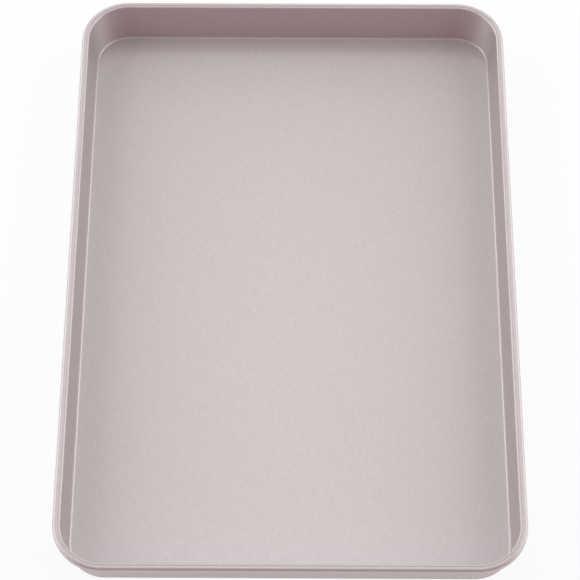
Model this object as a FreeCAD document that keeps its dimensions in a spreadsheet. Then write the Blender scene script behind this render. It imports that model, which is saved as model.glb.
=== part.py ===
# Jelly roll pan: one drawn steel pressing whose rim is rolled over a stiffening wire.
# Millimetres and degrees. +Z is up, X runs across the pan and Y along it.
# The origin is the middle of the underside.
import FreeCAD, Part
import math
import os

import Sketcher
from FreeCAD import Vector

# Driving dimensions
SIZES = {
    "overall_width": 277.0,  # across the rim, along X
    "overall_length": 407.0,  # across the rim, along Y
    "overall_height": 29.4,  # underside of the floor to the top of the rim
    "sheet_thickness": 0.8,
    "wall_draft": 6.8,  # degrees that the walls lean outwards
    "base_bend_radius": 1.3,  # inside radius where the floor turns up into the wall
    "floor_corner_radius": 21.0,  # corner of the flat floor, seen from above
    "bead_width": 3.1,  # outermost edge to the crease in the top of the rim
    "crease_radius": 0.3,  # inside radius at the bottom of that crease
    "ridge_slope": 20.0,  # degrees that the sheet falls from the ridge into the crease
    "bead_slope": 35.0,  # degrees that it rises from the crease to the bead
    "hem_radius": 0.6,  # inside radius where the rim's outer side turns in under the wire
    "hem_lip": 1.5,  # flat stretch that is turned in
    "hem_room": 0.2,  # from the underside of the wire to that stretch
    "wire_diameter": 2.7,
    "wire_clearance": 0.2,  # between the wire and the sheet rolled over it
    "wire_butt_gap": 1.5,  # between the two ends of the wire
}

# Sizes that follow from the driving dimensions, as expressions on the sheet.
# An inset runs inwards from the outermost edge, and a height up from the underside.
# The sheet is rolled over the wire, so the wire sets how wide the rim is. A crease parts
# its top into a ridge over the wall and a slightly higher bead along the outer edge.
WIRE_INSET = "(sizes.wire_diameter / 2 + sizes.wire_clearance + sizes.sheet_thickness)"
RIM_WIDTH = f"(2 * {WIRE_INSET})"
RIDGE_SLOPE = "(sizes.ridge_slope * 1 deg)"
BEAD_SLOPE = "(sizes.bead_slope * 1 deg)"
RIDGE_WIDTH = f"({RIM_WIDTH} - sizes.bead_width)"
RIDGE_RADIUS = f"(({RIDGE_WIDTH} - sizes.crease_radius * sin({RIDGE_SLOPE})) / (1 + sin({RIDGE_SLOPE})))"
BEAD_RADIUS = f"((sizes.bead_width - sizes.crease_radius * sin({BEAD_SLOPE})) / (1 + sin({BEAD_SLOPE})))"
RIDGE_INSET = f"({RIM_WIDTH} - {RIDGE_RADIUS})"
BEAD_HEIGHT = f"(sizes.overall_height - {BEAD_RADIUS})"
CREASE_HEIGHT = f"({BEAD_HEIGHT} + ({BEAD_RADIUS} + sizes.crease_radius) * cos({BEAD_SLOPE}))"
RIDGE_HEIGHT = f"({CREASE_HEIGHT} - ({RIDGE_RADIUS} + sizes.crease_radius) * cos({RIDGE_SLOPE}))"
# The wire hangs its clearance below the underside of the crease.
WIRE_REACH = f"({WIRE_INSET} + sizes.crease_radius)"
WIRE_HEIGHT = f"({CREASE_HEIGHT} - sqrt({WIRE_REACH} ^ 2 - ({WIRE_INSET} - sizes.bead_width) ^ 2))"
HEM_OUTER_RADIUS = "(sizes.hem_radius + sizes.sheet_thickness)"
HEM_HEIGHT = f"({WIRE_HEIGHT} - sizes.wire_diameter / 2 - sizes.hem_room + sizes.hem_radius)"
BASE_OUTER_RADIUS = "(sizes.base_bend_radius + sizes.sheet_thickness)"
DRAFT = "(sizes.wall_draft * 1 deg)"
# The flat floor ends where the wall's inner face, which touches the base bend at its foot
# and the ridge at its top, brings it.
WALL_RUN = f"(({RIDGE_HEIGHT} - {BASE_OUTER_RADIUS}) * sin({DRAFT}))"
FLOOR_INSET = f"({RIDGE_INSET} + ({RIDGE_RADIUS} + sizes.base_bend_radius + {WALL_RUN}) / cos({DRAFT}))"
FLOOR_HALF_WIDTH = f"(sizes.overall_width / 2 - {FLOOR_INSET})"
FLOOR_HALF_LENGTH = f"(sizes.overall_length / 2 - {FLOOR_INSET})"
RIDGE_HALF_WIDTH = f"(sizes.overall_width / 2 - {RIDGE_INSET})"
CREASE_HALF_WIDTH = "(sizes.overall_width / 2 - sizes.bead_width)"
BEAD_HALF_WIDTH = f"(sizes.overall_width / 2 - {BEAD_RADIUS})"
HEM_HALF_WIDTH = f"(sizes.overall_width / 2 - {HEM_OUTER_RADIUS})"
WIRE_HALF_WIDTH = f"(sizes.overall_width / 2 - {WIRE_INSET})"
WIRE_HALF_LENGTH = f"(sizes.overall_length / 2 - {WIRE_INSET})"
WIRE_CORNER_RADIUS = f"(sizes.floor_corner_radius + {FLOOR_INSET} - {WIRE_INSET})"

# Point numbers that a sketch gives to its lines and arcs
START, END, CENTRE = 1, 2, 3
ORIGIN = (-1, 1)
X_AXIS = -1
UPRIGHT = Vector(0, 0, 1)


def make_sheet(doc):
    """Put the driving dimensions in a spreadsheet, one named cell each."""
    sheet = doc.addObject("Spreadsheet::Sheet", "sizes")
    for row, (name, number) in enumerate(SIZES.items(), start=1):
        sheet.set(f"A{row}", name)
        sheet.set(f"B{row}", str(number))
        sheet.setAlias(f"B{row}", name)
    doc.recompute()


def value_of(owner, expression):
    """Work out an expression on the sheet as a plain number, angles in radians."""
    result = owner.evalExpression(expression)
    if isinstance(result, FreeCAD.Units.Quantity) and result.Unit == FreeCAD.Units.Angle:
        return result.getValueAs("rad").Value
    return float(result)


def make_body(doc, name):
    body = doc.addObject("PartDesign::Body", name)
    body.Label = name
    return body


def sketch_on(body, name, role):
    """Start a sketch on one of the body's own origin planes."""
    plane = next(feature for feature in body.Origin.OriginFeatures if feature.Role == role)
    sketch = body.newObject("Sketcher::SketchObject", name)
    sketch.AttachmentSupport = [(plane, "")]
    sketch.MapMode = "FlatFace"
    return sketch


def line(start, end):
    return Part.LineSegment(start, end)


def arc(centre, radius, first, last):
    return Part.ArcOfCircle(Part.Circle(centre, UPRIGHT, radius), first, last)


def polar(centre, radius, angle):
    return centre + Vector(math.cos(angle), math.sin(angle), 0) * radius


def draw(sketch, shapes):
    """Add named shapes to a sketch and give back their numbers by name."""
    return {name: sketch.addGeometry(shape, False) for name, shape in shapes.items()}


def rule(sketch, kind, *places):
    sketch.addConstraint(Sketcher.Constraint(kind, *places))


def dimension(sketch, name, expression, kind, *places):
    """Add a named dimension that the sheet drives."""
    number = value_of(sketch, expression)
    index = sketch.addConstraint(Sketcher.Constraint(kind, *places, number))
    sketch.renameConstraint(index, name)
    sketch.setExpression(f"Constraints.{name}", expression)


def draw_loop(sketch, half_width, half_length, radius, gap=None):
    """Draw a rounded rectangle that starts and ends in the middle of its +X side.

    With a gap the loop is open there, and without one it is closed.
    """
    side = value_of(sketch, half_width)
    end = value_of(sketch, half_length)
    bend = value_of(sketch, radius)
    half_gap = value_of(sketch, gap) / 2 if gap else 0
    inner_side = side - bend
    inner_end = end - bend
    quarter = math.pi / 2
    item = draw(sketch, {
        "right_upper": line(Vector(side, half_gap, 0), Vector(side, inner_end, 0)),
        "back_right": arc(Vector(inner_side, inner_end, 0), bend, 0, quarter),
        "back": line(Vector(inner_side, end, 0), Vector(-inner_side, end, 0)),
        "back_left": arc(Vector(-inner_side, inner_end, 0), bend, quarter, 2 * quarter),
        "left": line(Vector(-side, inner_end, 0), Vector(-side, -inner_end, 0)),
        "front_left": arc(Vector(-inner_side, -inner_end, 0), bend, 2 * quarter, 3 * quarter),
        "front": line(Vector(-inner_side, -end, 0), Vector(inner_side, -end, 0)),
        "front_right": arc(Vector(inner_side, -inner_end, 0), bend, 3 * quarter, 4 * quarter),
        "right_lower": line(Vector(side, -inner_end, 0), Vector(side, -half_gap, 0)),
    })
    order = list(item.values())
    for first, second in zip(order, order[1:]):
        rule(sketch, "Tangent", first, END, second, START)
    for name in ("back", "front"):
        rule(sketch, "Horizontal", item[name])
    for name in ("right_upper", "left", "right_lower"):
        rule(sketch, "Vertical", item[name])
    for name in ("back_left", "front_left", "front_right"):
        rule(sketch, "Equal", item["back_right"], item[name])
    dimension(sketch, "corner_radius", radius, "Radius", item["back_right"])
    dimension(sketch, "right_side", half_width, "DistanceX", *ORIGIN, item["right_upper"], START)
    dimension(sketch, "left_side", half_width, "DistanceX", item["left"], START, *ORIGIN)
    dimension(sketch, "back_end", half_length, "DistanceY", *ORIGIN, item["back"], START)
    dimension(sketch, "front_end", half_length, "DistanceY", item["front"], START, *ORIGIN)
    if gap:
        half_of_gap = f"{gap} / 2"
        rule(sketch, "Vertical", item["right_upper"], START, item["right_lower"], END)
        dimension(sketch, "upper_end", half_of_gap, "DistanceY", *ORIGIN, item["right_upper"], START)
        dimension(sketch, "lower_end", half_of_gap, "DistanceY", item["right_lower"], END, *ORIGIN)
    else:
        rule(sketch, "Coincident", item["right_lower"], END, item["right_upper"], START)
        rule(sketch, "PointOnObject", item["right_upper"], START, X_AXIS)
    return [f"Edge{number}" for number in range(1, len(order) + 1)]


def draw_wall_section(sketch):
    """Draw the sheet from the edge of the flat floor up the wall and round the rim.

    The section lies at the middle of the +X side: sketch x is X and sketch y is Z.
    """
    thickness = value_of(sketch, "sizes.sheet_thickness")
    base_radius = value_of(sketch, "sizes.base_bend_radius")
    base_outer = value_of(sketch, BASE_OUTER_RADIUS)
    ridge_outer = value_of(sketch, RIDGE_RADIUS)
    ridge_radius = ridge_outer - thickness
    crease_radius = value_of(sketch, "sizes.crease_radius")
    crease_outer = crease_radius + thickness
    bead_outer = value_of(sketch, BEAD_RADIUS)
    bead_radius = bead_outer - thickness
    hem_radius = value_of(sketch, "sizes.hem_radius")
    hem_outer = value_of(sketch, HEM_OUTER_RADIUS)
    base = Vector(value_of(sketch, FLOOR_HALF_WIDTH), base_outer, 0)
    ridge = Vector(value_of(sketch, RIDGE_HALF_WIDTH), value_of(sketch, RIDGE_HEIGHT), 0)
    crease = Vector(value_of(sketch, CREASE_HALF_WIDTH), value_of(sketch, CREASE_HEIGHT), 0)
    bead = Vector(value_of(sketch, BEAD_HALF_WIDTH), value_of(sketch, BEAD_HEIGHT), 0)
    hem = Vector(value_of(sketch, HEM_HALF_WIDTH), value_of(sketch, HEM_HEIGHT), 0)
    lip = Vector(-value_of(sketch, "sizes.hem_lip"), 0, 0)
    draft = value_of(sketch, DRAFT)
    ridge_slope = value_of(sketch, RIDGE_SLOPE)
    bead_slope = value_of(sketch, BEAD_SLOPE)
    up = math.pi / 2
    down = -up
    foot_angle = -draft
    top_angle = math.pi - draft
    item = draw(sketch, {
        "floor_edge": line(Vector(base.x, 0, 0), Vector(base.x, thickness, 0)),
        "base_inner": arc(base, base_radius, down, foot_angle),
        "wall_inner": line(polar(base, base_radius, foot_angle), polar(ridge, ridge_outer, top_angle)),
        "ridge_outer": arc(ridge, ridge_outer, up - ridge_slope, top_angle),
        "crease_inner": arc(crease, crease_radius, down - ridge_slope, down + bead_slope),
        "bead_outer": arc(bead, bead_outer, 0, up + bead_slope),
        "skirt_outer": line(polar(bead, bead_outer, 0), polar(hem, hem_outer, 0)),
        "hem_outer": arc(hem, hem_outer, down, 0),
        "lip_outer": line(polar(hem, hem_outer, down), polar(hem, hem_outer, down) + lip),
        "raw_edge": line(polar(hem, hem_outer, down) + lip, polar(hem, hem_radius, down) + lip),
        "lip_inner": line(polar(hem, hem_radius, down) + lip, polar(hem, hem_radius, down)),
        "hem_inner": arc(hem, hem_radius, down, 0),
        "skirt_inner": line(polar(hem, hem_radius, 0), polar(bead, bead_radius, 0)),
        "bead_inner": arc(bead, bead_radius, 0, up + bead_slope),
        "crease_outer": arc(crease, crease_outer, down - ridge_slope, down + bead_slope),
        "ridge_inner": arc(ridge, ridge_radius, up - ridge_slope, top_angle),
        "wall_outer": line(polar(ridge, ridge_radius, top_angle), polar(base, base_outer, foot_angle)),
        "base_outer": arc(base, base_outer, down, foot_angle),
    })
    smooth_joints = (
        ("base_inner", END, "wall_inner", START),
        ("wall_inner", END, "ridge_outer", END),
        ("ridge_outer", START, "crease_inner", START),
        ("crease_inner", END, "bead_outer", END),
        ("bead_outer", START, "skirt_outer", START),
        ("skirt_outer", END, "hem_outer", END),
        ("hem_outer", START, "lip_outer", START),
        ("lip_inner", END, "hem_inner", START),
        ("hem_inner", END, "skirt_inner", START),
        ("skirt_inner", END, "bead_inner", START),
        ("bead_inner", END, "crease_outer", END),
        ("crease_outer", START, "ridge_inner", START),
        ("ridge_inner", END, "wall_outer", START),
        ("wall_outer", END, "base_outer", END),
    )
    sharp_joints = (
        ("lip_outer", END, "raw_edge", START),
        ("raw_edge", END, "lip_inner", START),
        ("base_outer", START, "floor_edge", START),
        ("floor_edge", END, "base_inner", START),
        ("base_inner", CENTRE, "base_outer", CENTRE),
        ("ridge_inner", CENTRE, "ridge_outer", CENTRE),
        ("crease_inner", CENTRE, "crease_outer", CENTRE),
        ("bead_inner", CENTRE, "bead_outer", CENTRE),
        ("hem_inner", CENTRE, "hem_outer", CENTRE),
    )
    for first, first_point, second, second_point in smooth_joints:
        rule(sketch, "Tangent", item[first], first_point, item[second], second_point)
    for first, first_point, second, second_point in sharp_joints:
        rule(sketch, "Coincident", item[first], first_point, item[second], second_point)
    for name in ("floor_edge", "skirt_outer", "skirt_inner", "raw_edge"):
        rule(sketch, "Vertical", item[name])
    for name in ("lip_outer", "lip_inner"):
        rule(sketch, "Horizontal", item[name])
    rule(sketch, "PointOnObject", item["base_inner"], CENTRE, item["floor_edge"])
    rule(sketch, "PointOnObject", item["floor_edge"], START, X_AXIS)
    dimension(sketch, "bend_inside", "sizes.base_bend_radius", "Radius", item["base_inner"])
    dimension(sketch, "bend_outside", BASE_OUTER_RADIUS, "Radius", item["base_outer"])
    dimension(sketch, "ridge_inside", f"({RIDGE_RADIUS} - sizes.sheet_thickness)", "Radius",
              item["ridge_inner"])
    dimension(sketch, "ridge_outside", RIDGE_RADIUS, "Radius", item["ridge_outer"])
    dimension(sketch, "crease_inside", "sizes.crease_radius", "Radius", item["crease_inner"])
    dimension(sketch, "bead_outside", BEAD_RADIUS, "Radius", item["bead_outer"])
    dimension(sketch, "hem_inside", "sizes.hem_radius", "Radius", item["hem_inner"])
    dimension(sketch, "ridge_reach", RIDGE_HALF_WIDTH, "DistanceX", *ORIGIN, item["ridge_outer"], CENTRE)
    dimension(sketch, "ridge_height", RIDGE_HEIGHT, "DistanceY", *ORIGIN, item["ridge_outer"], CENTRE)
    dimension(sketch, "crease_reach", CREASE_HALF_WIDTH, "DistanceX",
              *ORIGIN, item["crease_inner"], CENTRE)
    dimension(sketch, "bead_reach", BEAD_HALF_WIDTH, "DistanceX", *ORIGIN, item["bead_outer"], CENTRE)
    dimension(sketch, "hem_height", HEM_HEIGHT, "DistanceY", *ORIGIN, item["hem_outer"], CENTRE)
    dimension(sketch, "lip", "sizes.hem_lip", "DistanceX",
              item["lip_inner"], START, item["lip_inner"], END)
    dimension(sketch, "lean", f"(90 deg - {DRAFT})", "Angle", item["wall_inner"])


def make_pan_shell(doc):
    """The pressing: a flat floor, with wall and rolled rim swept along its outline."""
    body = make_body(doc, "pan_shell")
    outline = sketch_on(body, "floor_outline", "XY_Plane")
    edges = draw_loop(outline, FLOOR_HALF_WIDTH, FLOOR_HALF_LENGTH, "sizes.floor_corner_radius")
    floor = body.newObject("PartDesign::Pad", "floor")
    floor.Profile = outline
    floor.setExpression("Length", "sizes.sheet_thickness")
    section = sketch_on(body, "wall_section", "XZ_Plane")
    draw_wall_section(section)
    walls = body.newObject("PartDesign::AdditivePipe", "walls_and_rim")
    walls.Profile = section
    walls.Spine = (outline, edges)
    return body


def make_rim_wire(doc):
    """The stiffening wire: one bent length whose ends meet in the middle of the +X side."""
    body = make_body(doc, "rim_wire")
    body.setExpression("Placement.Base.z", WIRE_HEIGHT)
    path = sketch_on(body, "wire_path", "XY_Plane")
    gap = "sizes.wire_butt_gap"
    edges = draw_loop(path, WIRE_HALF_WIDTH, WIRE_HALF_LENGTH, WIRE_CORNER_RADIUS, gap)
    section = sketch_on(body, "wire_section", "XZ_Plane")
    section.setExpression("AttachmentOffset.Base.z", f"-{gap} / 2")
    centre = Vector(value_of(section, WIRE_HALF_WIDTH), 0, 0)
    radius = value_of(section, "sizes.wire_diameter") / 2
    item = draw(section, {"round": Part.Circle(centre, UPRIGHT, radius)})
    rule(section, "PointOnObject", item["round"], CENTRE, X_AXIS)
    dimension(section, "reach", WIRE_HALF_WIDTH, "DistanceX", *ORIGIN, item["round"], CENTRE)
    dimension(section, "diameter", "sizes.wire_diameter", "Diameter", item["round"])
    wire = body.newObject("PartDesign::AdditivePipe", "bent_wire")
    wire.Profile = section
    wire.Spine = (path, edges)
    return body


def check(doc, bodies):
    """Stop if anything in the document failed, or a piece isn't one valid solid."""
    failed = [item.Label for item in doc.Objects if "Invalid" in item.State or "Error" in item.State]
    if failed:
        raise RuntimeError(f"these did not build: {failed}")
    for body in bodies:
        shape = body.Shape
        if shape.isNull() or not shape.isValid() or len(shape.Solids) != 1:
            raise RuntimeError(f"{body.Label} is not one valid solid")


def main():
    doc = FreeCAD.newDocument("jelly_roll_pan")
    make_sheet(doc)
    bodies = [make_pan_shell(doc), make_rim_wire(doc)]
    doc.recompute()
    check(doc, bodies)
    os.makedirs("parts", exist_ok=True)
    for body in bodies:
        body.Shape.exportStep(f"parts/{body.Label}.step")
        print(body.Label, round(body.Shape.Volume, 1), "mm3")


main()
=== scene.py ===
"""Jelly roll pan: a pressed steel baking pan with a champagne coat and a wired rim.

Metres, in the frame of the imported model: +Z up, X across the pan and Y along it.
"""
import math

import bpy
from mathutils import Matrix, Vector


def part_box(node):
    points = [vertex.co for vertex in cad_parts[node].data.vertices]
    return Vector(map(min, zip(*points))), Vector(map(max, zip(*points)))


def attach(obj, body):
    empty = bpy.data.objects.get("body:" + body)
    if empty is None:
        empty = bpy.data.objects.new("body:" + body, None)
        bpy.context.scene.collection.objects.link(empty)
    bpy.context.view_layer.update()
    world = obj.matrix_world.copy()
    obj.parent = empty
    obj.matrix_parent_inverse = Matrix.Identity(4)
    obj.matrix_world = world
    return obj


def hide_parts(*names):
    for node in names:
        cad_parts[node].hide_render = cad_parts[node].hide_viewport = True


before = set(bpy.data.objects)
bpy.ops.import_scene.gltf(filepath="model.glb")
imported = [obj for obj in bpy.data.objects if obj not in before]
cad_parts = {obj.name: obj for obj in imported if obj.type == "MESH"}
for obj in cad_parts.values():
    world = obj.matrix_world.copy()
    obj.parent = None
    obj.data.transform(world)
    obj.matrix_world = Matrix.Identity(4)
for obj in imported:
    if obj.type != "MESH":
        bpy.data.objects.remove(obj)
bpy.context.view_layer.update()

bl_info = {
    "name": "Jelly roll pan",
    "version": (1, 0, 0),
    "blender": (4, 5, 0),
    "location": "View3D > Sidebar > Bakeware",
    "description": "Dresses the packed jelly roll pan and sets it in a studio",
    "category": "Object",
}

MM = 0.001
WHITE = (1, 1, 1, 1)
# Name of the mesh attribute that says how near the sheet is to the crease, 1 in it and 0 away from it.
# The coat uses it to paint shade into the crease.
CREASE_SHADE_ATTRIBUTE = "painted_crease_shade"
# Corners of the swept wall and of the floor that lie closer than this are one corner.
WELD_DISTANCE = 0.005 * MM
# The strongest pull of large faces on the normals beside them, which keeps flat faces flat.
FLAT_PULL = 100
SHELL_LOW, SHELL_HIGH = (Vector(corner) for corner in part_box("pan_shell"))
SHELL_SIZE = SHELL_HIGH - SHELL_LOW


def linear(code):
    """Turn an sRGB hex colour into the linear RGB that a shader takes, by the sRGB curve."""
    channels = [int(code[start:start + 2], 16) / 255 for start in (1, 3, 5)]
    return [part / 12.92 if part <= 0.04045 else ((part + 0.055) / 1.055) ** 2.4 for part in channels]


def add_node(tree, kind, settings=None, inputs=None):
    """Add a node, set its own settings, and give each named input a value or a link."""
    node = tree.nodes.new(kind)
    for name, value in (settings or {}).items():
        setattr(node, name, value)
    for name, source in (inputs or {}).items():
        if isinstance(source, bpy.types.NodeSocket):
            tree.links.new(source, node.inputs[name])
        else:
            node.inputs[name].default_value = source
    return node


class PanSizes(bpy.types.PropertyGroup):
    """Sizes of the pressing, as the solids have them."""

    width: bpy.props.FloatProperty(
        name="Width", description="Across the rim", default=SHELL_SIZE.x, unit="LENGTH")
    length: bpy.props.FloatProperty(
        name="Length", description="Along the rim", default=SHELL_SIZE.y, unit="LENGTH")
    height: bpy.props.FloatProperty(
        name="Height", description="Underside to the top of the rim",
        default=SHELL_SIZE.z, unit="LENGTH")
    sheet: bpy.props.FloatProperty(
        name="Sheet", description="Thickness of the steel sheet", default=0.8 * MM, unit="LENGTH")
    draft: bpy.props.FloatProperty(
        name="Draft", description="Lean of the walls", default=math.radians(6.8), subtype="ANGLE")
    base_bend: bpy.props.FloatProperty(
        name="Base bend", description="Inside radius between floor and wall",
        default=1.3 * MM, unit="LENGTH")
    floor_corner: bpy.props.FloatProperty(
        name="Floor corner", description="Corner radius of the flat floor",
        default=21 * MM, unit="LENGTH")
    rim_width: bpy.props.FloatProperty(
        name="Rim width", description="Across the rim's ridge and bead",
        default=4.7 * MM, unit="LENGTH")
    rim_depth: bpy.props.FloatProperty(
        name="Rim depth", description="Top of the rim to its underside",
        default=4.982 * MM, unit="LENGTH")
    bead_width: bpy.props.FloatProperty(
        name="Bead width", description="Outer edge to the crease in the rim",
        default=3.1 * MM, unit="LENGTH")
    crease: bpy.props.FloatProperty(
        name="Crease", description="Inside radius of the crease", default=0.3 * MM, unit="LENGTH")
    ridge_slope: bpy.props.FloatProperty(
        name="Ridge slope", description="Fall of the sheet from the ridge into the crease",
        default=math.radians(20), subtype="ANGLE")
    bead_slope: bpy.props.FloatProperty(
        name="Bead slope", description="Rise of the sheet from the crease to the bead",
        default=math.radians(35), subtype="ANGLE")
    hem: bpy.props.FloatProperty(
        name="Hem", description="Inside radius where the rim turns in", default=0.6 * MM, unit="LENGTH")
    lip: bpy.props.FloatProperty(
        name="Lip", description="Flat stretch turned in under the wire",
        default=1.5 * MM, unit="LENGTH")
    floor_margin: bpy.props.FloatProperty(
        name="Floor margin", description="Flat ring that the wall is swept with",
        default=6 * MM, unit="LENGTH")
    bend_steps: bpy.props.IntProperty(
        name="Bend steps", description="Faces across each bend of the sheet", default=10)
    corner_steps: bpy.props.IntProperty(
        name="Corner steps", description="Faces round each corner of the pan", default=28)


class CoatFinish(bpy.types.PropertyGroup):
    """Colours and texture of the coat and the wire."""

    coat: bpy.props.FloatVectorProperty(
        name="Coat", description="Champagne metallic coat", default=linear("#C6BDBE"), subtype="COLOR")
    coat_flake: bpy.props.FloatVectorProperty(
        name="Flake", description="Lighter flakes in the coat",
        default=linear("#D6CECF"), subtype="COLOR")
    # Deeper, pinker tone of the coat seen from the side. It is partly the flake's real flop and partly
    # painted shade on the walls. The same tone is also the painted shade in the crease.
    coat_flop_shade: bpy.props.FloatVectorProperty(
        name="Flop and shade", description="Deeper tone of the coat seen from the side",
        default=linear("#8E7676"), subtype="COLOR")
    flop_start: bpy.props.FloatProperty(
        name="Flop start", description="How far aside the view is when the deeper tone sets in",
        default=0.5, subtype="FACTOR")
    flop_shade_share: bpy.props.FloatProperty(
        name="Flop shade share", description="Share of the deeper tone at the lowest angle", default=0.56,
        subtype="FACTOR")
    # Painted shade in the crease of the rim: how much of the deeper tone it takes, and how far from the
    # crease that tone reaches.
    crease_shade_share: bpy.props.FloatProperty(
        name="Crease shade share", description="Share of the deeper tone in the crease of the rim",
        default=0.45, subtype="FACTOR")
    crease_shade_reach: bpy.props.FloatProperty(
        name="Crease shade reach", description="How far from the crease that tone shows", default=0.9 * MM,
        unit="LENGTH")
    coat_metal: bpy.props.FloatProperty(
        name="Flake share", description="How much of the coat's colour is metal flake", default=0.4,
        subtype="FACTOR")
    coat_roughness: bpy.props.FloatProperty(
        name="Coat roughness", description="How far the coat spreads a reflection", default=0.37,
        subtype="FACTOR")
    roughness_swing: bpy.props.FloatProperty(
        name="Roughness swing", description="How far the flake shifts the roughness each way",
        default=0.04, subtype="FACTOR")
    gloss: bpy.props.FloatProperty(
        name="Gloss", description="Share of the clear top of the coat", default=0.3, subtype="FACTOR")
    gloss_roughness: bpy.props.FloatProperty(
        name="Gloss roughness", description="How far that top spreads a reflection", default=0.3,
        subtype="FACTOR")
    # Real flake is finer than a pixel, so its grain is drawn as coarse as it takes to show.
    flake_size: bpy.props.FloatProperty(
        name="Flake size", description="Width of the grain that shows", default=1.4 * MM, unit="LENGTH")
    flake_levels: bpy.props.FloatProperty(
        name="Flake levels", description="Finer levels in that grain", default=1)
    flake_fineness: bpy.props.FloatProperty(
        name="Flake fineness", description="How much the finer levels show",
        default=0.6, subtype="FACTOR")
    peel_size: bpy.props.FloatProperty(
        name="Orange peel", description="Width of the coat's shallow waves",
        default=2.5 * MM, unit="LENGTH")
    peel_levels: bpy.props.FloatProperty(
        name="Peel levels", description="Finer levels in these waves", default=2)
    peel_depth: bpy.props.FloatProperty(
        name="Peel depth", description="Height of these waves", default=0.01 * MM, unit="LENGTH")
    peel_share: bpy.props.FloatProperty(
        name="Peel share", description="How much these waves show", default=0.25, subtype="FACTOR")
    wire: bpy.props.FloatVectorProperty(
        name="Wire", description="Bright zinc on drawn wire",
        default=linear("#C3C6C9"), subtype="COLOR")
    wire_dull: bpy.props.FloatVectorProperty(
        name="Dull zinc", description="Duller patches of the zinc",
        default=linear("#A9ADB1"), subtype="COLOR")
    patch_size: bpy.props.FloatProperty(
        name="Patch size", description="Width of these patches", default=6 * MM, unit="LENGTH")
    patch_levels: bpy.props.FloatProperty(
        name="Patch levels", description="Finer levels in these patches", default=4)
    wire_roughness: bpy.props.FloatProperty(
        name="Wire roughness", description="How far bright zinc spreads a reflection", default=0.24,
        subtype="FACTOR")
    dull_roughness: bpy.props.FloatProperty(
        name="Dull roughness", description="How far dull zinc spreads a reflection", default=0.42,
        subtype="FACTOR")


class StudioSetup(bpy.types.PropertyGroup):
    """Camera, floor and light."""

    elevation: bpy.props.FloatProperty(
        name="Elevation", description="Camera above the horizon",
        default=math.radians(60), subtype="ANGLE")
    yaw: bpy.props.FloatProperty(
        name="Yaw", description="Camera turned about the pan",
        default=math.radians(0.221), subtype="ANGLE")
    roll: bpy.props.FloatProperty(
        name="Roll", description="Camera turned about its view",
        default=math.radians(0.055), subtype="ANGLE")
    aim: bpy.props.FloatVectorProperty(
        name="Aim", description="Point at rim height that the camera looks at",
        default=(-0.8 * MM, -17.2 * MM, SHELL_HIGH.z), subtype="TRANSLATION")
    distance: bpy.props.FloatProperty(
        name="Distance", description="Camera to its aim", default=1.39, unit="LENGTH")
    lens: bpy.props.FloatProperty(
        name="Lens", description="Focal length in millimetres", default=140.15)
    sensor: bpy.props.FloatProperty(
        name="Sensor", description="Width of the camera's frame in millimetres", default=36)
    floor: bpy.props.FloatVectorProperty(
        name="Floor", description="Matt white paper", default=linear("#F9F9F9"), subtype="COLOR")
    floor_width: bpy.props.FloatProperty(
        name="Floor width", description="Side of the paper", default=40, unit="LENGTH")
    floor_gap: bpy.props.FloatProperty(
        name="Floor gap", description="Between the paper and the underside",
        default=0.1 * MM, unit="LENGTH")
    floor_glow: bpy.props.FloatProperty(
        name="Floor glow", description="Share of the paper's white that no shadow dims", default=0.9,
        subtype="FACTOR")
    screen: bpy.props.FloatVectorProperty(
        name="Screen", description="Dim rose screen in front",
        default=linear("#A06664"), subtype="COLOR")
    screen_distance: bpy.props.FloatProperty(
        name="Screen distance", description="Screen to the middle of the pan",
        default=1.5, unit="LENGTH")
    screen_width: bpy.props.FloatProperty(
        name="Screen width", description="Side to side", default=3.2, unit="LENGTH")
    screen_height: bpy.props.FloatProperty(
        name="Screen height", description="Up from the floor", default=2.2, unit="LENGTH")
    world_level: bpy.props.FloatProperty(
        name="Room light", description="White light from all round", default=0.38)
    top_power: bpy.props.FloatProperty(
        name="Top softbox", description="Softbox above the pan", default=2.4, unit="POWER")
    top_width: bpy.props.FloatProperty(
        name="Top width", description="That softbox across the pan", default=0.4, unit="LENGTH")
    top_length: bpy.props.FloatProperty(
        name="Top length", description="That softbox along the pan", default=1.2, unit="LENGTH")
    top_place: bpy.props.FloatVectorProperty(
        name="Top place", description="Middle of that softbox",
        default=(0, 0.5, 1.5), subtype="TRANSLATION")
    side_power: bpy.props.FloatProperty(
        name="Side softboxes", description="Each softbox at a side", default=32, unit="POWER")
    side_width: bpy.props.FloatProperty(
        name="Side width", description="Width of each of these", default=3, unit="LENGTH")
    side_height: bpy.props.FloatProperty(
        name="Side height", description="Height of each of these", default=1.9, unit="LENGTH")
    side_turn: bpy.props.FloatProperty(
        name="Side turn", description="How far each is turned from the back to its side",
        default=math.radians(75), subtype="ANGLE")
    side_elevation: bpy.props.FloatProperty(
        name="Side elevation", description="Each of these above the floor", default=math.radians(30),
        subtype="ANGLE")
    back_power: bpy.props.FloatProperty(
        name="Back softbox", description="Softbox behind the pan", default=8, unit="POWER")
    back_width: bpy.props.FloatProperty(
        name="Back width", description="Width of that softbox", default=2, unit="LENGTH")
    back_height: bpy.props.FloatProperty(
        name="Back height", description="Height of that softbox", default=1, unit="LENGTH")
    back_elevation: bpy.props.FloatProperty(
        name="Back elevation", description="That softbox above the floor", default=math.radians(18),
        subtype="ANGLE")
    lamp_distance: bpy.props.FloatProperty(
        name="Lamp distance", description="Side and back softboxes to the pan",
        default=2.2, unit="LENGTH")


def bend_reach(radius, turn):
    """How far along each side a bend of that radius starts from its corner."""
    return radius * math.tan(turn / 2)


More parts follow.
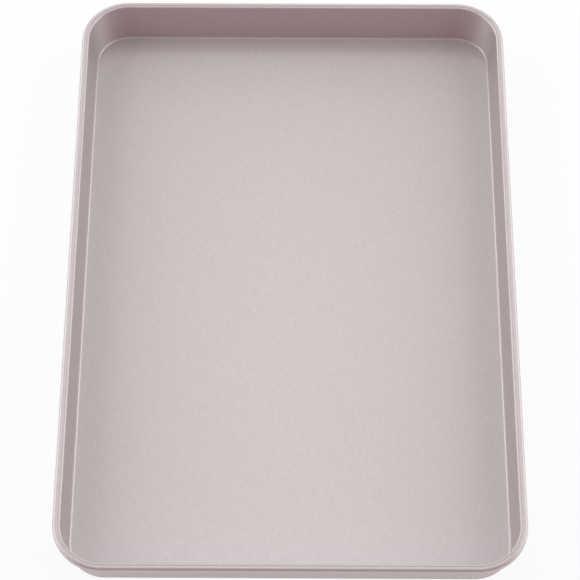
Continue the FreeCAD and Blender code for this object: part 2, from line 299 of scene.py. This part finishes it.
def sheet_corners(sizes):
    """Corners of the sheet's middle line and its bends, from the flat floor round to the lip's edge.

    Each place is how far out it lies from the edge of the flat floor and how far up from the
    underside.
    """
    half = sizes.sheet / 2
    floor = half
    base = sizes.base_bend + half
    crease = sizes.crease + half
    hem = sizes.hem + half
    ridge_sine = math.sin(sizes.ridge_slope)
    bead_sine = math.sin(sizes.bead_slope)
    bead = (sizes.bead_width - sizes.crease * bead_sine) / (1 + bead_sine) - half
    ridge_width = sizes.rim_width - sizes.bead_width
    ridge = (ridge_width - sizes.crease * ridge_sine) / (1 + ridge_sine) - half
    bead_up = sizes.height - half - bead
    crease_up = bead_up + (bead + crease) * math.cos(sizes.bead_slope)
    ridge_up = crease_up - (ridge + crease) * math.cos(sizes.ridge_slope)
    rise = ridge_up - (floor + base)
    ridge_out = (base + ridge + rise * math.sin(sizes.draft)) / math.cos(sizes.draft)
    crease_out = ridge_out + (ridge + crease) * ridge_sine
    side = crease_out + (crease + bead) * bead_sine + bead
    under = sizes.height - sizes.rim_depth + half
    # The slopes on both sides of the crease meet below it, and they reach the lines of wall
    # and skirt above the rim.
    crease_reach = bend_reach(crease, sizes.ridge_slope + sizes.bead_slope)
    low_out = crease_out - crease * ridge_sine + crease_reach * math.cos(sizes.ridge_slope)
    low_up = crease_up - crease * math.cos(sizes.ridge_slope) - crease_reach * ridge_sine
    skirt_up = low_up + (side - low_out) * math.tan(sizes.bead_slope)
    wall_lean = math.tan(sizes.draft)
    wall_foot = bend_reach(base, math.pi / 2 - sizes.draft)
    ridge_fall = math.tan(sizes.ridge_slope)
    wall_up = low_up + (low_out - wall_foot + floor * wall_lean) * ridge_fall
    wall_up /= 1 + wall_lean * ridge_fall
    corners = {
        "Floor Start": (-sizes.floor_margin, floor, 0),
        "Wall Foot": (wall_foot, floor, base),
        "Ridge": (wall_foot + (wall_up - floor) * wall_lean, wall_up, ridge),
        "Crease": (low_out, low_up, crease),
        "Bead": (side, skirt_up, bead),
        "Hem": (side, under, hem),
        "Lip End": (side - hem - sizes.lip, under, 0),
    }
    return corners, side + half


def sheet_tree(corner_names):
    """Geometry nodes that sweep the bent sheet round the floor and fill the floor in."""
    tree = bpy.data.node_groups.new("Pressed pan sheet", "GeometryNodeTree")
    sockets = [
        ("Path Width", "NodeSocketFloat"),
        ("Path Length", "NodeSocketFloat"),
        ("Path Corner", "NodeSocketFloat"),
        ("Floor Height", "NodeSocketFloat"),
        ("Corner Steps", "NodeSocketInt"),
        ("Bend Steps", "NodeSocketInt"),
        ("Crease Shade Reach", "NodeSocketFloat"),
        ("Coat", "NodeSocketMaterial"),
    ]
    for name in corner_names:
        sockets.append((name, "NodeSocketVector"))
        sockets.append((f"{name} Bend", "NodeSocketFloat"))
    for name, kind in sockets:
        tree.interface.new_socket(name, in_out="INPUT", socket_type=kind)
    tree.interface.new_socket("Geometry", in_out="OUTPUT", socket_type="NodeSocketGeometry")
    sizes = add_node(tree, "NodeGroupInput").outputs
    outline = add_node(tree, "GeometryNodeCurvePrimitiveQuadrilateral", {"mode": "RECTANGLE"},
                       {"Width": sizes["Path Width"], "Height": sizes["Path Length"]})
    path = add_node(tree, "GeometryNodeFilletCurve", {"mode": "POLY"},
                    {"Curve": outline.outputs["Curve"], "Count": sizes["Corner Steps"],
                     "Radius": sizes["Path Corner"]})
    level_path = add_node(tree, "GeometryNodeSetCurveNormal", {"mode": "Z_UP"},
                          {"Curve": path.outputs["Curve"]})
    index = add_node(tree, "GeometryNodeInputIndex")
    places = add_node(tree, "GeometryNodeIndexSwitch", {"data_type": "VECTOR"},
                      {"Index": index.outputs["Index"]})
    bends = add_node(tree, "GeometryNodeIndexSwitch", {"data_type": "FLOAT"},
                     {"Index": index.outputs["Index"]})
    for number, name in enumerate(corner_names):
        for switch, socket in ((places, sizes[name]), (bends, sizes[f"{name} Bend"])):
            if number >= len(switch.index_switch_items):
                switch.index_switch_items.new()
            tree.links.new(socket, switch.inputs[number + 1])
    points = add_node(tree, "GeometryNodePoints", None,
                      {"Count": len(corner_names), "Position": places.outputs["Output"]})
    bent_line = add_node(tree, "GeometryNodePointsToCurves", None, {"Points": points.outputs["Points"]})
    section = add_node(tree, "GeometryNodeFilletCurve", {"mode": "POLY"},
                       {"Curve": bent_line.outputs["Curves"], "Count": sizes["Bend Steps"],
                        "Radius": bends.outputs["Output"]})
    # The coat reads from the marked section how near the crease is, so that it can paint shade there.
    spot = add_node(tree, "GeometryNodeInputPosition")
    away = add_node(tree, "ShaderNodeVectorMath", {"operation": "DISTANCE"},
                    {0: spot.outputs["Position"], 1: sizes["Crease"]})
    depth = add_node(tree, "ShaderNodeMapRange", {"interpolation_type": "SMOOTHSTEP"},
                     {"Value": away.outputs["Value"], "From Max": sizes["Crease Shade Reach"],
                      "To Min": 1.0, "To Max": 0.0})
    marked = add_node(tree, "GeometryNodeStoreNamedAttribute", {"data_type": "FLOAT", "domain": "POINT"},
                      {"Geometry": section.outputs["Curve"], "Name": CREASE_SHADE_ATTRIBUTE,
                       "Value": depth.outputs["Result"]})
    wall = add_node(tree, "GeometryNodeCurveToMesh", None,
                    {"Curve": level_path.outputs["Curve"], "Profile Curve": marked.outputs["Geometry"]})
    flat = add_node(tree, "GeometryNodeFillCurve", {"mode": "NGONS"}, {"Curve": path.outputs["Curve"]})
    lift = add_node(tree, "ShaderNodeCombineXYZ", None, {"Z": sizes["Floor Height"]})
    floor = add_node(tree, "GeometryNodeTransform", None,
                     {"Geometry": flat.outputs["Mesh"], "Translation": lift.outputs["Vector"]})
    joined = add_node(tree, "GeometryNodeJoinGeometry")
    tree.links.new(wall.outputs["Mesh"], joined.inputs["Geometry"])
    tree.links.new(floor.outputs["Geometry"], joined.inputs["Geometry"])
    welded = add_node(tree, "GeometryNodeMergeByDistance", None,
                      {"Geometry": joined.outputs["Geometry"], "Distance": WELD_DISTANCE})
    smooth = add_node(tree, "GeometryNodeSetShadeSmooth", None, {"Geometry": welded.outputs["Geometry"]})
    real = add_node(tree, "GeometryNodeRealizeInstances", None, {"Geometry": smooth.outputs["Geometry"]})
    coated = add_node(tree, "GeometryNodeSetMaterial", None,
                      {"Geometry": real.outputs["Geometry"], "Material": sizes["Coat"]})
    add_node(tree, "NodeGroupOutput", None, {"Geometry": coated.outputs["Geometry"]})
    return tree


def champagne_coat(finish):
    """Baked non-stick coat with fine metal flake, sprayed on steel sheet.

    The flake gives a satin metal sheen with a fine sparkle. It lies flat, so the coat looks
    deeper and pinker from the side, and that deeper tone is also painted shade on the walls. The
    crease of the rim is painted darker with the same tone, as painted shade that shows as a
    fine dark line. The spray leaves a faint orange peel under a thin gloss.
    """
    material = bpy.data.materials.new("champagne non-stick coat, sprayed")
    material.use_nodes = True
    tree = material.node_tree
    tree.nodes.clear()
    place = add_node(tree, "ShaderNodeTexCoord").outputs["Object"]
    flake = add_node(tree, "ShaderNodeTexNoise", None,
                     {"Vector": place, "Scale": 1 / finish.flake_size, "Detail": finish.flake_levels,
                      "Roughness": finish.flake_fineness})
    shade = add_node(tree, "ShaderNodeMixRGB", None,
                     {"Fac": flake.outputs["Fac"], "Color1": (*finish.coat, 1),
                      "Color2": (*finish.coat_flake, 1)})
    # Painted shade, partly real flop: the coat turns to the deeper tone where a surface is seen from the
    # side, which darkens the walls.
    aside = add_node(tree, "ShaderNodeLayerWeight")
    flop_shade = add_node(tree, "ShaderNodeMapRange", None,
                    {"Value": aside.outputs["Facing"], "From Min": finish.flop_start,
                     "To Max": finish.flop_shade_share})
    tone = add_node(tree, "ShaderNodeMixRGB", None,
                    {"Fac": flop_shade.outputs["Result"], "Color1": shade.outputs["Color"],
                     "Color2": (*finish.coat_flop_shade, 1)})
    # Painted shade: the coat's colour is darkened towards the deeper tone in the crease of the rim.
    painted_crease_shade = add_node(tree, "ShaderNodeAttribute", {"attribute_name": CREASE_SHADE_ATTRIBUTE})
    crease_shade_weight = add_node(tree, "ShaderNodeMath", {"operation": "MULTIPLY"},
                        {0: painted_crease_shade.outputs["Fac"], 1: finish.crease_shade_share})
    crease_shaded = add_node(tree, "ShaderNodeMixRGB", None,
                    {"Fac": crease_shade_weight.outputs["Value"], "Color1": tone.outputs["Color"],
                     "Color2": (*finish.coat_flop_shade, 1)})
    rough = add_node(tree, "ShaderNodeMapRange", None,
                     {"Value": flake.outputs["Fac"],
                      "To Min": finish.coat_roughness + finish.roughness_swing,
                      "To Max": finish.coat_roughness - finish.roughness_swing})
    peel = add_node(tree, "ShaderNodeTexNoise", None,
                    {"Vector": place, "Scale": 1 / finish.peel_size, "Detail": finish.peel_levels})
    bump = add_node(tree, "ShaderNodeBump", None,
                    {"Height": peel.outputs["Fac"], "Strength": finish.peel_share,
                     "Distance": finish.peel_depth})
    metal = add_node(tree, "ShaderNodeBsdfPrincipled", None,
                     {"Base Color": crease_shaded.outputs["Color"], "Metallic": finish.coat_metal,
                      "Roughness": rough.outputs["Result"], "Normal": bump.outputs["Normal"],
                      "Coat Weight": finish.gloss, "Coat Roughness": finish.gloss_roughness})
    add_node(tree, "ShaderNodeOutputMaterial", None, {"Surface": metal.outputs["BSDF"]})
    return material


def zinc_wire(finish):
    """Drawn steel wire, bright zinc plated: a cool grey shine with duller patches."""
    material = bpy.data.materials.new("zinc plated steel wire, drawn")
    material.use_nodes = True
    tree = material.node_tree
    tree.nodes.clear()
    place = add_node(tree, "ShaderNodeTexCoord").outputs["Object"]
    patch = add_node(tree, "ShaderNodeTexNoise", None,
                     {"Vector": place, "Scale": 1 / finish.patch_size, "Detail": finish.patch_levels})
    shade = add_node(tree, "ShaderNodeMixRGB", None,
                     {"Fac": patch.outputs["Fac"], "Color1": (*finish.wire, 1),
                      "Color2": (*finish.wire_dull, 1)})
    rough = add_node(tree, "ShaderNodeMapRange", None,
                     {"Value": patch.outputs["Fac"], "To Min": finish.wire_roughness,
                      "To Max": finish.dull_roughness})
    metal = add_node(tree, "ShaderNodeBsdfPrincipled", None,
                     {"Base Color": shade.outputs["Color"], "Metallic": 1.0,
                      "Roughness": rough.outputs["Result"]})
    add_node(tree, "ShaderNodeOutputMaterial", None, {"Surface": metal.outputs["BSDF"]})
    return material


class PressPan(bpy.types.Operator):
    """Press the pan from one sheet: floor, walls and rolled rim."""

    bl_idname = "bakeware.press_pan"
    bl_label = "Press pan"

    def execute(self, context):
        sizes = context.scene.pan_sizes
        corners, inset = sheet_corners(sizes)
        margin = inset + sizes.floor_margin
        tree = sheet_tree(list(corners))
        values = {
            "Path Width": sizes.width - 2 * margin,
            "Path Length": sizes.length - 2 * margin,
            "Path Corner": sizes.floor_corner - sizes.floor_margin,
            "Floor Height": sizes.sheet / 2,
            "Corner Steps": sizes.corner_steps,
            "Bend Steps": sizes.bend_steps,
            "Crease Shade Reach": context.scene.coat_finish.crease_shade_reach,
            "Coat": champagne_coat(context.scene.coat_finish),
        }
        for name, (out, up, bend) in corners.items():
            # A section that is swept round a level path hangs from it, so up is minus here.
            values[name] = (out + sizes.floor_margin, -up, 0)
            values[f"{name} Bend"] = bend
        blank = bpy.data.objects.new("blank", bpy.data.meshes.new("blank"))
        context.collection.objects.link(blank)
        nodes = blank.modifiers.new("Sheet", "NODES")
        nodes.node_group = tree
        for socket in tree.interface.items_tree:
            if socket.in_out == "INPUT":
                nodes[socket.identifier] = values[socket.name]
        solid = blank.modifiers.new("Thickness", "SOLIDIFY")
        solid.thickness = sizes.sheet
        solid.offset = 0
        solid.use_even_offset = True
        solid.use_quality_normals = True
        flats = blank.modifiers.new("Flats", "WEIGHTED_NORMAL")
        flats.mode = "FACE_AREA"
        flats.weight = FLAT_PULL
        pressed = bpy.data.meshes.new_from_object(blank.evaluated_get(context.evaluated_depsgraph_get()))
        bpy.data.objects.remove(blank)
        if not pressed.polygons:
            raise RuntimeError("the pan's sheet came out empty")
        pan = bpy.data.objects.new("pressed_pan", pressed)
        context.collection.objects.link(pan)
        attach(pan, "root")
        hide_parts("pan_shell")
        return {"FINISHED"}


class PlateWire(bpy.types.Operator):
    """Give the rim's wire its zinc."""

    bl_idname = "bakeware.plate_wire"
    bl_label = "Plate wire"

    def execute(self, context):
        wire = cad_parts["rim_wire"]
        wire.data.materials.clear()
        wire.data.materials.append(zinc_wire(context.scene.coat_finish))
        return {"FINISHED"}


class SetStudio(bpy.types.Operator):
    """Lay the floor, hang the light and place the camera."""

    bl_idname = "bakeware.set_studio"
    bl_label = "Set studio"

    def execute(self, context):
        scene = context.scene
        setup = scene.studio_setup
        self.lay_floor(context, setup)
        self.stand_screen(context, setup)
        self.hang_light(context, setup)
        self.place_camera(context, setup)
        scene.view_settings.view_transform = "Standard"
        return {"FINISHED"}

    def lay_floor(self, context, setup):
        """Lay white paper that glows by itself in part and takes the shadow with the rest."""
        half = setup.floor_width / 2
        low = -setup.floor_gap
        mesh = bpy.data.meshes.new("paper_floor")
        mesh.from_pydata([(-half, -half, low), (half, -half, low), (half, half, low), (-half, half, low)],
                         [], [(0, 1, 2, 3)])
        material = bpy.data.materials.new("matt white paper")
        material.use_nodes = True
        tree = material.node_tree
        tree.nodes.clear()
        rays = add_node(tree, "ShaderNodeLightPath").outputs
        seen = add_node(tree, "ShaderNodeMath", {"operation": "ADD", "use_clamp": True},
                        {0: rays["Is Camera Ray"], 1: rays["Is Glossy Ray"]})
        shown = add_node(tree, "ShaderNodeMath", {"operation": "ADD", "use_clamp": True},
                         {0: seen.outputs["Value"], 1: rays["Is Transmission Ray"]})
        share = add_node(tree, "ShaderNodeMath", {"operation": "MULTIPLY"},
                         {0: shown.outputs["Value"], 1: setup.floor_glow})
        paper = add_node(tree, "ShaderNodeBsdfDiffuse", None, {"Color": (*setup.floor, 1)})
        white = add_node(tree, "ShaderNodeEmission", None, {"Color": WHITE})
        blend = add_node(tree, "ShaderNodeMixShader", None,
                         {0: share.outputs["Value"], 1: paper.outputs["BSDF"],
                          2: white.outputs["Emission"]})
        # From below the paper is clear, so that the underside of the pan can be looked at.
        below = add_node(tree, "ShaderNodeNewGeometry").outputs["Backfacing"]
        clear = add_node(tree, "ShaderNodeBsdfTransparent")
        one_sided = add_node(tree, "ShaderNodeMixShader", None,
                             {0: below, 1: blend.outputs["Shader"], 2: clear.outputs["BSDF"]})
        add_node(tree, "ShaderNodeOutputMaterial", None, {"Surface": one_sided.outputs["Shader"]})
        mesh.materials.append(material)
        floor = bpy.data.objects.new("paper_floor", mesh)
        context.collection.objects.link(floor)

    def stand_screen(self, context, setup):
        """Stand a dim rose screen in front, which dims and tints the wall at the back of the pan."""
        half = setup.screen_width / 2
        front = -setup.screen_distance
        high = setup.screen_height
        mesh = bpy.data.meshes.new("rose_screen")
        mesh.from_pydata([(-half, front, 0), (half, front, 0), (half, front, high), (-half, front, high)],
                         [], [(0, 1, 2, 3)])
        material = bpy.data.materials.new("rose felt")
        material.use_nodes = True
        tree = material.node_tree
        tree.nodes.clear()
        felt = add_node(tree, "ShaderNodeBsdfDiffuse", None, {"Color": (*setup.screen, 1)})
        add_node(tree, "ShaderNodeOutputMaterial", None, {"Surface": felt.outputs["BSDF"]})
        mesh.materials.append(material)
        screen = bpy.data.objects.new("rose_screen", mesh)
        screen.visible_camera = False
        context.collection.objects.link(screen)

    def hang_light(self, context, setup):
        """Light the room evenly and hang a softbox above, behind and at each side of the pan."""
        world = bpy.data.worlds.new("white studio")
        world.use_nodes = True
        room = world.node_tree.nodes["Background"].inputs
        room["Color"].default_value = WHITE
        room["Strength"].default_value = setup.world_level
        context.scene.world = world
        top_size = (setup.top_width, setup.top_length)
        self.hang_softbox(context, "top_softbox", Vector(setup.top_place), top_size, setup.top_power)
        back_size = (setup.back_width, setup.back_height)
        place = self.way(0, setup.back_elevation) * setup.lamp_distance
        self.hang_softbox(context, "back_softbox", place, back_size, setup.back_power)
        side_size = (setup.side_width, setup.side_height)
        for name, turn in (("left_softbox", -setup.side_turn), ("right_softbox", setup.side_turn)):
            place = self.way(turn, setup.side_elevation) * setup.lamp_distance
            self.hang_softbox(context, name, place, side_size, setup.side_power)

    def way(self, turn, elevation):
        """Direction that is turned from the back to the right and raised from the floor."""
        level = math.cos(elevation)
        return Vector((math.sin(turn) * level, math.cos(turn) * level, math.sin(elevation)))

    def hang_softbox(self, context, name, place, size, power):
        """Hang a rectangle of light that faces the middle of the pan."""
        lamp = bpy.data.lights.new(name, "AREA")
        lamp.shape = "RECTANGLE"
        lamp.size, lamp.size_y = size
        lamp.energy = power
        softbox = bpy.data.objects.new(name, lamp)
        softbox.matrix_world = Matrix.LocRotScale(place, (-place).to_track_quat("-Z", "Y"), None)
        context.collection.objects.link(softbox)

    def place_camera(self, context, setup):
        """Place the camera in front, looking down at its aim."""
        lens = bpy.data.cameras.new("camera")
        lens.lens = setup.lens
        lens.sensor_width = setup.sensor
        camera = bpy.data.objects.new("camera", lens)
        back = Vector((math.sin(setup.yaw) * math.cos(setup.elevation),
                       -math.cos(setup.yaw) * math.cos(setup.elevation),
                       math.sin(setup.elevation)))
        level = Vector((math.cos(setup.yaw), math.sin(setup.yaw), 0))
        upright = back.cross(level)
        right = level * math.cos(setup.roll) + upright * math.sin(setup.roll)
        up = back.cross(right)
        turn = Matrix((right, up, back)).transposed()
        place = Vector(setup.aim) + back * setup.distance
        camera.matrix_world = Matrix.LocRotScale(place, turn.to_quaternion(), None)
        context.collection.objects.link(camera)
        context.scene.camera = camera


class BakewarePanel(bpy.types.Panel):
    """Sizes, finishes and steps of the pan."""

    bl_idname = "VIEW3D_PT_bakeware"
    bl_label = "Jelly roll pan"
    bl_space_type = "VIEW_3D"
    bl_region_type = "UI"
    bl_category = "Bakeware"

    def draw(self, context):
        for group in GROUPS:
            box = self.layout.box()
            settings = getattr(context.scene, group)
            for name in settings.__annotations__:
                box.prop(settings, name)
        for operator in OPERATORS:
            self.layout.operator(operator.bl_idname)


GROUPS = {"pan_sizes": PanSizes, "coat_finish": CoatFinish, "studio_setup": StudioSetup}
OPERATORS = (PressPan, PlateWire, SetStudio)


def register():
    for item in (*GROUPS.values(), *OPERATORS, BakewarePanel):
        bpy.utils.register_class(item)
    for name, group in GROUPS.items():
        setattr(bpy.types.Scene, name, bpy.props.PointerProperty(type=group))


def unregister():
    for name in GROUPS:
        delattr(bpy.types.Scene, name)
    for item in (BakewarePanel, *reversed(OPERATORS), *GROUPS.values()):
        bpy.utils.unregister_class(item)


def main():
    register()
    bpy.ops.bakeware.press_pan()
    bpy.ops.bakeware.plate_wire()
    bpy.ops.bakeware.set_studio()


if __name__ == "__main__":
    main()
